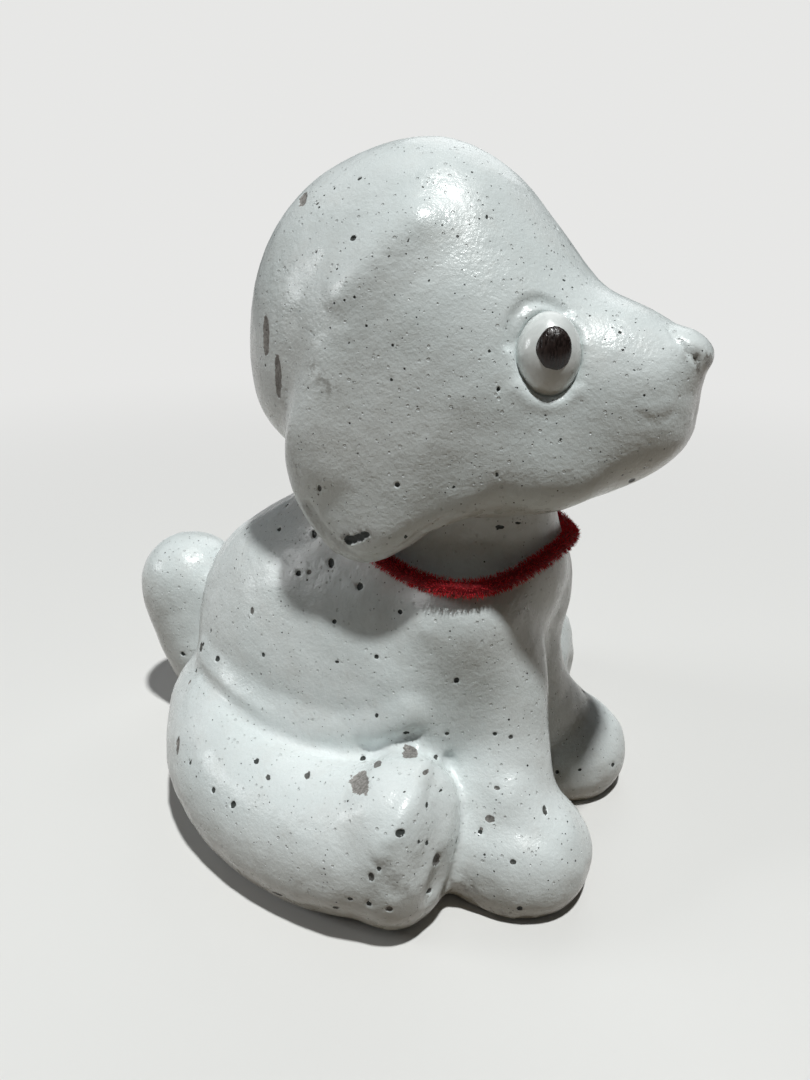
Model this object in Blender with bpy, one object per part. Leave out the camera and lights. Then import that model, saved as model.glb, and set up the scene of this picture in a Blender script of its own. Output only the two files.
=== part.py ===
"""A sitting puppy cast in concrete: a body and a head joined on a steel pin, with set-in eyes and a collar.

Metres, +Z up. The dog faces +X, its left side is +Y and its middle plane is Y = 0.
Each casting is sculpted as in clay: large masses are fused and smoothed, then smaller forms go on them.
"""

import math

import bmesh
import bpy
from mathutils import Matrix, Vector
from mathutils.bvhtree import BVHTree

# Clearance between pieces that seat in each other.
GAP = 0.0003

# Torso: level sections from the ground to the top of the neck.
# Each is (share of the height, front, rear, half width).
NECK_TOP = 0.124
TORSO_SECTIONS = (
    (-0.05, 0.026, -0.062, 0.046),
    (0.16, 0.034, -0.071, 0.052),
    (0.32, 0.041, -0.080, 0.053),
    (0.48, 0.048, -0.082, 0.051),
    (0.61, 0.0550, -0.079, 0.046),
    (0.72, 0.0580, -0.069, 0.0400),
    (0.80, 0.0565, -0.055, 0.0335),
    (0.89, 0.0530, -0.038, 0.0285),
    (1.05, 0.0500, -0.021, 0.0270),
)
TORSO_SQUARENESS = 2.25
SHOULDER_CENTRE = (0.0325, 0.018, 0.078)
SHOULDER_RADII = (0.023, 0.025, 0.028)
BELLY_CENTRE = (0.015, 0.025, 0.054)
BELLY_RADII = (0.031, 0.024, 0.034)

# Hind legs: along the flanks, ending in feet with their soles turned forward, the right one ahead.
# Each point of a path is (x, distance from the middle plane, height, radius).
HIND_FOOT_LEAD = 0.003
HAUNCH_PATH = (
    (-0.056, 0.030, 0.024, 0.0290),
    (-0.041, 0.049, 0.021, 0.0268),
    (-0.021, 0.060, 0.018, 0.0245),
    (0.003, 0.064, 0.018, 0.0235),
    (0.021, 0.063, 0.022, 0.0230),
)
HIND_FOOT_CENTRE = (0.0295, 0.060, 0.023)
HIND_FOOT_RADII = (0.0175, 0.0225, 0.0265)
HIND_FOOT_SQUARENESS = 2.4
SOLE_HOLLOW_PATH = (
    (0.0540, 0.062, 0.042, 0.0070),
    (0.0545, 0.064, 0.030, 0.0085),
    (0.0520, 0.068, 0.018, 0.0085),
    (0.0500, 0.072, 0.011, 0.0060),
)

# Front legs: under the shoulders. The pair stands a little to the right, with its right foot ahead.
FRONT_FEET_SHIFT = -0.003
FRONT_FOOT_LEAD = 0.003
FRONT_LEG_PATH = (
    (0.033, 0.013, 0.080, 0.0200),
    (0.0395, 0.0135, 0.060, 0.0180),
    (0.044, 0.018, 0.040, 0.0170),
    (0.049, 0.0265, 0.020, 0.0205),
)
FRONT_PAW_CENTRE = (0.0535, 0.029, 0.0115)
FRONT_PAW_RADII = (0.0275, 0.0235, 0.0200)
FRONT_PAW_SQUARENESS = 2.2

# Tail: a club that stands up behind the rump.
TAIL_PATH = (
    (-0.084, 0.0, 0.012, 0.0215),
    (-0.097, 0.0, 0.032, 0.0220),
    (-0.1045, 0.0, 0.054, 0.0222),
)

# Head: upright sections from the back of the skull to the muzzle.
# Each is (x, bottom, widest height, top, half width), with heights from the top of the neck.
HEAD_SECTIONS = (
    (-0.047, 0.020, 0.036, 0.058, 0.016),
    (-0.038, 0.008, 0.032, 0.076, 0.031),
    (-0.020, 0.000, 0.028, 0.090, 0.0415),
    (0.008, -0.008, 0.024, 0.097, 0.0455),
    (0.030, -0.011, 0.022, 0.0895, 0.0440),
    (0.046, -0.009, 0.021, 0.0730, 0.0395),
    (0.060, -0.004, 0.022, 0.0580, 0.0325),
    (0.074, 0.002, 0.023, 0.0530, 0.025),
    (0.086, 0.0105, 0.025, 0.0465, 0.018),
    (0.091, 0.017, 0.026, 0.0400, 0.011),
)
CROWN_SQUARENESS = 2.1
JAW_SQUARENESS = 2.6
JOWL_CENTRE = (0.038, 0.020, 0.012)
JOWL_RADII = (0.038, 0.0195, 0.018)

# Ears: thick flaps hanging flat against the sides of the head.
# The outline is seen from the side, as (x, height from the top of the neck).
# The outer face leans in towards its top and draws in towards its front, each by a share of the length.
EAR_OUTLINE = (
    (0.027, 0.0680),
    (0.014, 0.0610),
    (0.003, 0.0510),
    (-0.006, 0.0390),
    (-0.013, 0.0250),
    (-0.0175, 0.0105),
    (-0.0152, -0.0030),
    (-0.0080, -0.0140),
    (0.0000, -0.0200),
    (0.0105, -0.0218),
    (0.0210, -0.0166),
    (0.0310, -0.0092),
    (0.0435, -0.0025),
    (0.0520, 0.0080),
    (0.0520, 0.0270),
    (0.0460, 0.0460),
    (0.0380, 0.0610),
)
EAR_MIDDLE = (0.018, 0.020)
EAR_OUT = 0.0480
EAR_LEAN = 0.13
EAR_TAPER = 0.22
# Rings of the rounded edge: (share of the outline, distance in from the outer face).
EAR_EDGE = ((0.05, 0.0), (0.40, 0.0), (0.80, 0.0), (0.92, 0.0015), (0.985, 0.0050), (1.0, 0.0075), (0.97, 0.0120))

# Nose: a worn knob that tips down to the front.
NOSE_CENTRE = (0.0855, 0.0, 0.0415)
NOSE_RADII = (0.0095, 0.0095, 0.0066)
NOSE_TILT = 20.0

# Eyes: eggs set in hollows in the head, turned outwards from straight ahead.
# The half sizes are (outward, across, upward).
EYE_FORWARD = 0.0590
EYE_HEIGHT = 0.0425
EYE_TURN = 57.0
EYE_TILT = 12.0
EYE_RADII = (0.0078, 0.0083, 0.0107)
EYE_DEPTH = 0.0030
ORBIT_RADII = (0.0060, 0.0122, 0.0155)
ORBIT_REARWARD = 0.0012
ORBIT_RAISED = 0.0014
PUPIL_RADII = (0.0022, 0.0043, 0.0053)
PUPIL_PROUD = 0.0006
PUPIL_RAISED = 0.0013

# Mouth: a groove round each side of the muzzle, as (x, height), and its depth.
MOUTH_LINE = ((0.0800, 0.0275), (0.0845, 0.0252), (0.0890, 0.0275))
MOUTH_RADIUS = 0.0008

# Steel pin through the joint of neck and head.
PIN_RADIUS = 0.003
PIN_LENGTH = 0.044
PIN_FORWARD = 0.017
PIN_END_ROOM = 0.001

# Collar: a velvet stem round the neck, lowest over the shoulders, its ends one above the other at the nape.
# The drops are measured down from the top of the neck, and the angles are in degrees round it from the front.
STEM_RADIUS = 0.0024
COLLAR_AXIS = 0.012
COLLAR_DROP_FRONT = 0.0190
COLLAR_DROP_SHOULDER = 0.0275
COLLAR_DROP_NAPE = 0.0060
COLLAR_SHOULDER_ANGLE = 50.0
COLLAR_LAP = 24.0
COLLAR_LAP_EASE = 30.0
COLLAR_POINTS = 54

# Detail: voxel sizes and smoothing of each stage, and the share of facets kept on each casting.
MASS_VOXEL = 0.0022
FORM_VOXEL = 0.0018
FINE_VOXEL = 0.0013
BODY_KEPT = 0.055
HEAD_KEPT = 0.055
EYE_LEVELS = 10
EYE_SIDES = 18

PAINT = (0.80, 0.84, 0.83, 1.0)
PUPIL_BROWN = (0.018, 0.009, 0.007, 1.0)
STEEL = (0.55, 0.55, 0.56, 1.0)
COLLAR_RED = (0.36, 0.010, 0.016, 1.0)


def clear_scene():
    for obj in list(bpy.data.objects):
        bpy.data.objects.remove(obj, do_unlink=True)


def principled(name, colour, roughness, metallic=0.0):
    material = bpy.data.materials.new(name)
    material.use_nodes = True
    shader = material.node_tree.nodes["Principled BSDF"]
    shader.inputs["Base Color"].default_value = colour
    shader.inputs["Roughness"].default_value = roughness
    shader.inputs["Metallic"].default_value = metallic
    material.diffuse_color = colour
    return material


def new_object(name, form):
    mesh = bpy.data.meshes.new(name)
    bmesh.ops.recalc_face_normals(form, faces=form.faces)
    form.to_mesh(mesh)
    form.free()
    obj = bpy.data.objects.new(name, mesh)
    bpy.context.scene.collection.objects.link(obj)
    return obj


def new_cutter(name, form):
    cutter = new_object(name, form)
    cutter.hide_render = True
    cutter.display_type = "WIRE"
    return cutter


def smooth_path(points, steps):
    """A smooth curve through the given points, which may have any number of values each."""
    found = []
    last = len(points) - 1
    for i in range(last):
        a, b, c, d = (points[max(0, min(last, i + k))] for k in (-1, 0, 1, 2))
        for step in range(steps):
            t = step / steps
            weights = (
                -0.5 * t + t**2 - 0.5 * t**3,
                1 - 2.5 * t**2 + 1.5 * t**3,
                0.5 * t + 2 * t**2 - 1.5 * t**3,
                -0.5 * t**2 + 0.5 * t**3,
            )
            found.append(tuple(sum(w * v for w, v in zip(weights, values)) for values in zip(a, b, c, d)))
    found.append(tuple(points[last]))
    return found


def squared(value, squareness):
    """A sine or cosine bent so that a round outline becomes boxier above a squareness of 2."""
    return math.copysign(abs(value) ** (2 / squareness), value)


def ellipse(centre, across, up, sides, squareness=2.0):
    turns = [2 * math.pi * i / sides for i in range(sides)]
    return [
        centre + across * squared(math.cos(turn), squareness) + up * squared(math.sin(turn), squareness)
        for turn in turns
    ]


def add_rings(form, rings):
    """Closed skin over rings of equal count, with a flat face at each end."""
    rows = [[form.verts.new(point) for point in ring] for ring in rings]
    count = len(rows[0])
    for low, high in zip(rows, rows[1:]):
        for i in range(count):
            j = (i + 1) % count
            form.faces.new((low[i], low[j], high[j], high[i]))
    form.faces.new(rows[0][::-1])
    form.faces.new(rows[-1])


def add_egg(form, centre, radii, turn=None, squareness=2.0, levels=14, sides=24):
    """Ellipsoid, or a boxier form, with the given half sizes along the axes of the turn matrix."""
    turn = turn or Matrix.Identity(3)
    rings = []
    for level in range(levels + 1):
        polar = math.pi * (0.03 + 0.94 * level / levels)
        height = radii[2] * squared(math.cos(polar), squareness)
        width = squared(math.sin(polar), squareness)
        across = turn @ Vector((radii[0] * width, 0, 0))
        deep = turn @ Vector((0, radii[1] * width, 0))
        rings.append(ellipse(Vector(centre) - turn @ Vector((0, 0, height)), across, deep, sides, squareness))
    add_rings(form, rings)


def add_limb(form, path, side=1, shift=Vector((0, 0, 0)), steps=5, sides=24):
    """Round limb with domed ends along a path of (x, y, z, radius)."""
    points = smooth_path(path, steps)
    places = [Vector((x, side * y, z)) + shift for x, y, z, _ in points]
    last = len(places) - 1
    rings = []
    for i, place in enumerate(places):
        radius = points[i][3]
        along = (places[min(i + 1, last)] - places[max(i - 1, 0)]).normalized()
        across = along.cross(Vector((0.3, 0.2, 1)) if abs(along.z) < 0.7 else Vector((1, 0, 0))).normalized()
        up = along.cross(across)
        domes = {0: (-1.53, -1.2, -0.8, -0.4, 0.0), last: (0.0, 0.4, 0.8, 1.2, 1.53)}
        for dome in domes.get(i, (0.0,)):
            width = radius * math.cos(dome)
            rings.append(ellipse(place + along * radius * math.sin(dome), across * width, up * width, sides))
    add_rings(form, rings)


def add_ear(form, side):
    """Flap with a rounded edge, inside the head along its top and its front."""
    outline = smooth_path((*EAR_OUTLINE, EAR_OUTLINE[0]), 3)[:-1]
    middle = Vector(EAR_MIDDLE)
    rings = []
    for share, inward in EAR_EDGE:
        ring = []
        for point in outline:
            x, height = middle + (Vector(point) - middle) * share
            lean = EAR_LEAN * max(0.0, height - EAR_MIDDLE[1]) + EAR_TAPER * max(0.0, x - EAR_MIDDLE[0])
            ring.append(on_head((x, side * (EAR_OUT - lean - inward), height)))
        rings.append(ring)
    add_rings(form, rings)


def both_sides(place):
    x, y, z = place
    return (-1, Vector((x, -y, z))), (1, Vector((x, y, z)))


def on_head(place):
    return Vector(place) + Vector((0, 0, NECK_TOP))


def fused(obj, add_forms, voxel, passes):
    """Adds closed forms to an object, fuses them with it and smooths the joins."""
    form = bmesh.new()
    form.from_mesh(obj.data)
    add_forms(form)
    bmesh.ops.recalc_face_normals(form, faces=form.faces)
    form.to_mesh(obj.data)
    form.free()
    soften(obj, voxel, passes)


def soften(obj, voxel, passes):
    fuse = obj.modifiers.new("fuse", "REMESH")
    fuse.mode = "VOXEL"
    fuse.voxel_size = voxel
    blend = obj.modifiers.new("blend", "SMOOTH")
    blend.factor = 0.5
    blend.iterations = passes
    settle(obj)


def settle(obj):
    """Makes what the modifiers give the object's own mesh."""
    bpy.context.view_layer.update()
    mesh = evaluated_mesh(obj)
    old = obj.data
    obj.modifiers.clear()
    obj.data = mesh
    bpy.data.meshes.remove(old)
    mesh.name = obj.name


def cut(obj, cutter):
    take_away = obj.modifiers.new(f"cut {cutter.name}", "BOOLEAN")
    take_away.operation = "DIFFERENCE"
    take_away.solver = "EXACT"
    take_away.object = cutter


def thin(obj, kept):
    """Keeps this share of the facets."""
    fewer = obj.modifiers.new("fewer facets", "DECIMATE")
    fewer.ratio = kept
    settle(obj)


def evaluated_mesh(obj):
    graph = bpy.context.evaluated_depsgraph_get()
    return bpy.data.meshes.new_from_object(obj.evaluated_get(graph))


def surface_of(obj):
    form = bmesh.new()
    form.from_mesh(obj.data)
    surface = BVHTree.FromBMesh(form)
    form.free()
    return surface


def evaluated_surface(obj):
    form = bmesh.new()
    form.from_mesh(evaluated_mesh(obj))
    surface = BVHTree.FromBMesh(form)
    form.free()
    return surface


def front_foot_shift(side):
    return Vector((-side * FRONT_FOOT_LEAD, FRONT_FEET_SHIFT, 0))


def hind_foot_shift(side):
    return Vector((-side * HIND_FOOT_LEAD, 0, 0))


def add_body_masses(form):
    rings = []
    for share, front, rear, half in smooth_path(TORSO_SECTIONS, 4):
        middle = Vector(((front + rear) / 2, 0, share * NECK_TOP))
        along, across = Vector(((front - rear) / 2, 0, 0)), Vector((0, half, 0))
        rings.append(ellipse(middle, along, across, 32, TORSO_SQUARENESS))
    add_rings(form, rings)
    for _, centre in both_sides(SHOULDER_CENTRE):
        add_egg(form, centre, SHOULDER_RADII)
    for _, centre in both_sides(BELLY_CENTRE):
        add_egg(form, centre, BELLY_RADII)
    for side in (-1, 1):
        add_limb(form, HAUNCH_PATH, side, hind_foot_shift(side))
        add_limb(form, FRONT_LEG_PATH, side, front_foot_shift(side))
    add_limb(form, TAIL_PATH)


def add_feet(form):
    for side, centre in both_sides(HIND_FOOT_CENTRE):
        add_egg(form, centre + hind_foot_shift(side), HIND_FOOT_RADII, squareness=HIND_FOOT_SQUARENESS)
    for side, centre in both_sides(FRONT_PAW_CENTRE):
        add_egg(form, centre + front_foot_shift(side), FRONT_PAW_RADII, squareness=FRONT_PAW_SQUARENESS)


def add_head_masses(form):
    rings = []
    for x, bottom, widest, top, half in smooth_path(HEAD_SECTIONS, 4):
        middle, across = on_head((x, 0, widest)), Vector((0, half, 0))
        crown = ellipse(middle, across, Vector((0, 0, top - widest)), 32, CROWN_SQUARENESS)
        jaw = ellipse(middle, across, Vector((0, 0, widest - bottom)), 32, JAW_SQUARENESS)
        rings.append(crown[:17] + jaw[17:])
    add_rings(form, rings)
    for _, centre in both_sides(JOWL_CENTRE):
        add_egg(form, on_head(centre), JOWL_RADII)


def add_ears(form):
    for side in (-1, 1):
        add_ear(form, side)


def add_nose(form):
    add_egg(form, on_head(NOSE_CENTRE), NOSE_RADII, Matrix.Rotation(math.radians(NOSE_TILT), 3, "Y"))


def eye_turn(side):
    """Axes of an eye: X out of the head, Y across and Z up."""
    outward = Matrix.Rotation(side * math.radians(EYE_TURN), 3, "Z")
    return outward @ Matrix.Rotation(-math.radians(EYE_TILT), 3, "Y")


def eye_seats(head):
    """The point of the head's surface under each eye."""
    surface = surface_of(head)
    seats = []
    for side in (-1, 1):
        inside = on_head((EYE_FORWARD, 0, EYE_HEIGHT))
        outside = inside + Vector((0, side, 0))
        seats.append((side, surface.ray_cast(outside, inside - outside)[0]))
    return seats


def box(form, low, high):
    size = Vector(high) - Vector(low)
    place = Matrix.Translation((Vector(high) + Vector(low)) / 2) @ Matrix.Diagonal((*size, 1))
    bmesh.ops.create_cube(form, size=1, matrix=place)


def cylinder(form, x, low, high, radius):
    place = Matrix.Translation((x, 0, (low + high) / 2))
    bmesh.ops.create_cone(
        form, cap_ends=True, segments=24, radius1=radius, radius2=radius, depth=high - low, matrix=place
    )


def carve_soles(body):
    """Hollows in the soles of the hind feet, softened."""
    form = bmesh.new()
    for side in (-1, 1):
        add_limb(form, SOLE_HOLLOW_PATH, side, hind_foot_shift(side))
    hollows = new_cutter("sole_cutter", form)
    cut(body, hollows)
    settle(body)
    soften(body, FORM_VOXEL, 4)
    bpy.data.objects.remove(hollows)


def make_body():
    """The body, flat under its seat and feet and at the top of its neck."""
    body = new_object("body_casting", bmesh.new())
    fused(body, add_body_masses, MASS_VOXEL, 16)
    fused(body, add_feet, FORM_VOXEL, 8)
    carve_soles(body)
    thin(body, BODY_KEPT)
    form = bmesh.new()
    box(form, (-1, -1, -1), (1, 1, 0))
    cut(body, new_cutter("ground_cutter", form))
    form = bmesh.new()
    box(form, (-1, -1, NECK_TOP), (1, 1, 1))
    cut(body, new_cutter("neck_top_cutter", form))
    return body


def make_head():
    head = new_object("head_casting", bmesh.new())
    fused(head, add_head_masses, MASS_VOXEL, 10)
    fused(head, add_ears, FORM_VOXEL, 6)
    fused(head, add_nose, FORM_VOXEL, 4)
    return head


def make_joint(body, head):
    """Seats the head over the neck, with a bore in each for the pin."""
    half, room = PIN_LENGTH / 2, PIN_LENGTH / 2 + PIN_END_ROOM
    form = bmesh.new()
    cylinder(form, PIN_FORWARD, NECK_TOP - half, NECK_TOP + half, PIN_RADIUS)
    pin = new_object("neck_pin", form)
    form = bmesh.new()
    cylinder(form, PIN_FORWARD, NECK_TOP - room, NECK_TOP + room, PIN_RADIUS + GAP)
    bore = new_cutter("pin_bore_cutter", form)
    cut(body, bore)
    neck = new_cutter("neck_seat_cutter", bmesh.new())
    neck.data = evaluated_mesh(body)
    grow = neck.modifiers.new("clearance", "DISPLACE")
    grow.strength = 1.5 * GAP
    grow.mid_level = 0.0
    cut(head, neck)
    cut(head, bore)
    return pin


def eased(share):
    share = max(0.0, min(1.0, share))
    return share * share * (3 - 2 * share)


def collar_height(angle):
    """Height of the stem's middle round the neck."""
    turned = abs(angle)
    if turned < COLLAR_SHOULDER_ANGLE:
        share, start = eased(turned / COLLAR_SHOULDER_ANGLE), COLLAR_DROP_FRONT
    else:
        share, start = eased((180 - turned) / (180 - COLLAR_SHOULDER_ANGLE)), COLLAR_DROP_NAPE
    beside = STEM_RADIUS + 1.5 * GAP
    reach = 180 - COLLAR_LAP - COLLAR_LAP_EASE
    aside = beside * math.copysign(eased((turned - reach) / COLLAR_LAP_EASE), angle)
    return NECK_TOP - start - share * (COLLAR_DROP_SHOULDER - start) + aside


def collar_path(surface):
    """Points along the stem, which rests on the shoulders with a clearance."""
    end = 180 + COLLAR_LAP / 2
    points = []
    for i in range(COLLAR_POINTS):
        angle = end * (2 * i / (COLLAR_POINTS - 1) - 1)
        away = Vector((math.cos(math.radians(angle)), math.sin(math.radians(angle)), 0))
        axis = Vector((COLLAR_AXIS, 0, collar_height(angle)))
        points.append(surface.ray_cast(axis + away, -away)[0] + away * (STEM_RADIUS + GAP))
    for _ in range(6):
        middle = [(a + 2 * b + c) / 4 for a, b, c in zip(points, points[1:], points[2:])]
        points = [points[0], *middle, points[-1]]
        for i, point in enumerate(points):
            _, normal, _, distance = surface.find_nearest(point)
            points[i] = point + normal * max(0.0, STEM_RADIUS + 1.5 * GAP - distance)
    return points


def lap_gap(points):
    """Least gap between the stem and itself where its ends pass each other."""
    apart = len(points) // 2
    pairs = [(a, b) for i, a in enumerate(points) for b in points[i + apart:]]
    return min((a - b).length for a, b in pairs) - 2 * STEM_RADIUS


def make_collar(body):
    points = collar_path(evaluated_surface(body))
    curve = bpy.data.curves.new("collar", "CURVE")
    curve.dimensions = "3D"
    curve.bevel_depth = STEM_RADIUS
    curve.bevel_resolution = 2
    curve.use_fill_caps = True
    spline = curve.splines.new("POLY")
    spline.points.add(len(points) - 1)
    for place, point in zip(spline.points, points):
        place.co = (*point, 1)
    collar = bpy.data.objects.new("collar", curve)
    bpy.context.scene.collection.objects.link(collar)
    print(f"least gap between the collar and itself: {1000 * lap_gap(points):.2f} mm")


def carve_face(head, seats):
    """Hollows round the eyes and the line of the mouth, softened."""
    surface = surface_of(head)
    form = bmesh.new()
    for side, seat in seats:
        turn = eye_turn(side)
        aside = turn @ Vector((ORBIT_RADII[0] * 0.62, side * ORBIT_REARWARD, ORBIT_RAISED))
        add_egg(form, seat + aside, ORBIT_RADII, turn)
    orbits = new_cutter("orbit_cutter", form)
    cut(head, orbits)
    settle(head)
    form = bmesh.new()
    for side in (-1, 1):
        path = []
        for x, height in smooth_path(MOUTH_LINE, 4):
            inside = on_head((x, 0, height))
            hit = surface.ray_cast(inside + Vector((0.01, side, 0)), Vector((-0.01, -side, 0)))[0]
            if hit is not None:
                path.append((hit.x, hit.y, hit.z, MOUTH_RADIUS))
        add_limb(form, path, steps=1, sides=12)
    mouths = new_cutter("mouth_cutter", form)
    cut(head, mouths)
    settle(head)
    soften(head, FINE_VOXEL, 3)
    for cutter in (orbits, mouths):
        bpy.data.objects.remove(cutter)


def make_eyes(head, seats):
    reach = EYE_RADII[0] * math.sqrt(1 - (PUPIL_RAISED / EYE_RADII[2]) ** 2)
    slope = math.atan2(PUPIL_RAISED / EYE_RADII[2] ** 2, reach / EYE_RADII[0] ** 2)
    for side, seat in seats:
        word = "right" if side < 0 else "left"
        turn = eye_turn(side)
        gaze = turn @ Matrix.Rotation(-slope, 3, "Y")
        centre = seat - turn @ Vector((EYE_DEPTH, 0, 0))
        front = centre + turn @ Vector((reach, 0, PUPIL_RAISED))
        front -= gaze @ Vector((PUPIL_RADII[0] - PUPIL_PROUD, 0, 0))
        pieces = []
        for name, place, radii, way, holder in (
            ("eyeball", centre, EYE_RADII, turn, head),
            ("pupil", front, PUPIL_RADII, gaze, None),
        ):
            form = bmesh.new()
            add_egg(form, place, radii, way, levels=EYE_LEVELS, sides=EYE_SIDES)
            pieces.append(new_object(f"{word}_{name}", form))
            form = bmesh.new()
            grown = [radius + GAP for radius in radii]
            add_egg(form, place, grown, way, levels=EYE_LEVELS, sides=EYE_SIDES)
            cut(holder or pieces[0], new_cutter(f"{word}_{name}_seat_cutter", form))


def paint_pieces(materials):
    for obj in bpy.data.objects:
        if obj.hide_render:
            continue
        obj.data.materials.clear()
        for word, material in materials.items():
            if word in obj.name:
                obj.data.materials.append(material)
        if obj.type == "MESH":
            obj.data.shade_smooth()


def stand_on_origin():
    """Moves all of it so that the origin is below the middle of its box."""
    bpy.context.view_layer.update()
    graph = bpy.context.evaluated_depsgraph_get()
    low, high = Vector((1, 1, 1)), Vector((-1, -1, -1))
    for obj in bpy.data.objects:
        if obj.hide_render:
            continue
        for vertex in obj.evaluated_get(graph).to_mesh().vertices:
            for axis in range(3):
                low[axis] = min(low[axis], vertex.co[axis])
                high[axis] = max(high[axis], vertex.co[axis])
    print("middle of the box", (low + high) / 2, "size", high - low)
    for obj in bpy.data.objects:
        obj.location -= Vector(((low.x + high.x) / 2, (low.y + high.y) / 2, low.z))


clear_scene()
body = make_body()
head = make_head()
seats = eye_seats(head)
carve_face(head, seats)
thin(head, HEAD_KEPT)
make_joint(body, head)
make_eyes(head, seats)
make_collar(body)
paint_pieces({
    "casting": principled("glossy white paint", PAINT, 0.22),
    "eyeball": principled("eyeball paint", PAINT, 0.18),
    "pupil": principled("dark brown gloss", PUPIL_BROWN, 0.06),
    "pin": principled("plain steel", STEEL, 0.35, 1.0),
    "collar": principled("red velvet", COLLAR_RED, 0.85),
})
stand_on_origin()
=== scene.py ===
"""A sitting puppy cast in concrete: glossy white paint over pits and chips, set-in eyes and a red velvet collar."""

import math

import bmesh
import bpy
import numpy as np
from mathutils import Matrix, Vector, noise
from mathutils.bvhtree import BVHTree


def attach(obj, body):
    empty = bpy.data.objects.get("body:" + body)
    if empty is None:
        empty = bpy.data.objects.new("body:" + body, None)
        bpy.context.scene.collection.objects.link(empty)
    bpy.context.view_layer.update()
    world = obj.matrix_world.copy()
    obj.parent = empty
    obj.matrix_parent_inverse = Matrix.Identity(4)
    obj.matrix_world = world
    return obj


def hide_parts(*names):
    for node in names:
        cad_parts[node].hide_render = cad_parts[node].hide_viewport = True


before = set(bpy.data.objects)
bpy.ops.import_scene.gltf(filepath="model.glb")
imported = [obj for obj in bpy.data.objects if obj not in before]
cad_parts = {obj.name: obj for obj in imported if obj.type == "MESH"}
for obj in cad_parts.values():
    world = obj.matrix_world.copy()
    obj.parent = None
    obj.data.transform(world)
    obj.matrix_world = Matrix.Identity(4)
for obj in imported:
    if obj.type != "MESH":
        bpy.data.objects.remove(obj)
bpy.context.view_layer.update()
chance = np.random.default_rng(11)

# The camera stands at the dog's right, a little in front of it and above it, and looks down.
CAMERA_PLACE = Vector((0.1472, -0.2278, 0.200))
CAMERA_LENS = 27.03
CAMERA_DOWN = 22.0
CAMERA_TURN = 30.0
BACKGROUND = (0.80, 0.80, 0.79)

# The picture that marks and strokes are measured in, 810 by 1080: its middle and its focal length, in pixels
PICTURE_MIDDLE = (405, 540)
PICTURE_FOCUS = 811

SIDES = {-1: "right", 1: "left"}
MIRRORED = (1, -1, 1)

# Corners of the CAD solids closer than this are one corner
SAME_CORNER = 0.00001

# Pits: the half width from which faces are divided, the cuts and the margin round the pit, the greatest depth,
# the depth of a scraped pit as a share of a dark one's, and the share of scraped ones among those strewn by chance
FINE_PIT = 0.0007
PIT_CUTS = 2
PIT_MARGIN = 0.0008
DEEPEST_PIT = 0.0011
SCRAPED_DEPTH = 0.45
SCRAPED_SHARE = 0.25

# Stains and painted shade fade out over this many half widths
STAIN_AND_SHADE_SPREAD = 1.6

# The eyes look out to their side by one angle and up by the other
EYE_OUT = 57
EYE_UP = 12
EYE_RADII = (0.0078, 0.0085, 0.0109)
PUPIL_RADII = (0.0022, 0.0046, 0.0056)
PUPIL_PROUD = 0.0006
PUPIL_RAISED = 0.0013

# The stem's core lies a little inside the pile's roots. A fibre has three edges, leans, strays and bends by
# chance, has a waist at this share of its height, and is left out where less than the shortest share is free
CORE_SUNK = 0.0003
CORE_VOXEL = 0.0006
FIBRE_EDGES = (0.0, 2.1, 4.2)
FIBRE_LEAN = 0.38
FIBRE_STRAY = 0.0002
FIBRE_BEND = 0.00012
FIBRE_WAIST = 0.55
FIBRE_SHORTEST = 0.25

# Paint and concrete
DULL_PAINT = (0.745, 0.81, 0.81, 1)
CLEAN_PAINT = (0.815, 0.87, 0.87, 1)
THIN_PAINT = (0.60, 0.61, 0.585, 1)
# Grey of painted shade in the painted-over dents
DENT_SHADE = (0.45, 0.47, 0.46, 1)
# Greyish brown of smears that grow stronger towards the bottom
BROWN_SMEAR = (0.50, 0.47, 0.42, 1)
# Dark brown of dirt, also painted as shade under the ear's lobe and along the feet
DIRT_AND_SHADE = (0.125, 0.098, 0.070, 1)
# Near black of painted shade in the open pinholes
HOLE_SHADE = (0.030, 0.033, 0.031, 1)
# Concrete in dark pits, darkened by painted shade
DARK_STONE_AND_PIT_SHADE = ((0.018, 0.022, 0.020, 1), (0.075, 0.085, 0.080, 1))
SCRAPED_STONE = ((0.16, 0.15, 0.14, 1), (0.40, 0.385, 0.365, 1))


# The camera and the studio


def make_camera():
    camera = bpy.data.objects.new("camera", bpy.data.cameras.new("camera"))
    camera.data.lens = CAMERA_LENS
    camera.data.clip_start = 0.01
    camera.location = CAMERA_PLACE
    camera.rotation_euler = (math.radians(90 - CAMERA_DOWN), 0, math.radians(CAMERA_TURN))
    bpy.context.scene.collection.objects.link(camera)
    bpy.context.scene.camera = camera
    bpy.context.view_layer.update()
    return camera


def make_lamp(name, place, target, size, power, colour):
    lamp = bpy.data.objects.new(name, bpy.data.lights.new(name, "AREA"))
    lamp.data.shape = "DISK"
    lamp.data.size = size
    lamp.data.energy = power
    lamp.data.color = colour
    lamp.location = place
    lamp.rotation_mode = "QUATERNION"
    lamp.rotation_quaternion = (Vector(target) - Vector(place)).to_track_quat("-Z", "Y")
    bpy.context.scene.collection.objects.link(lamp)


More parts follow.
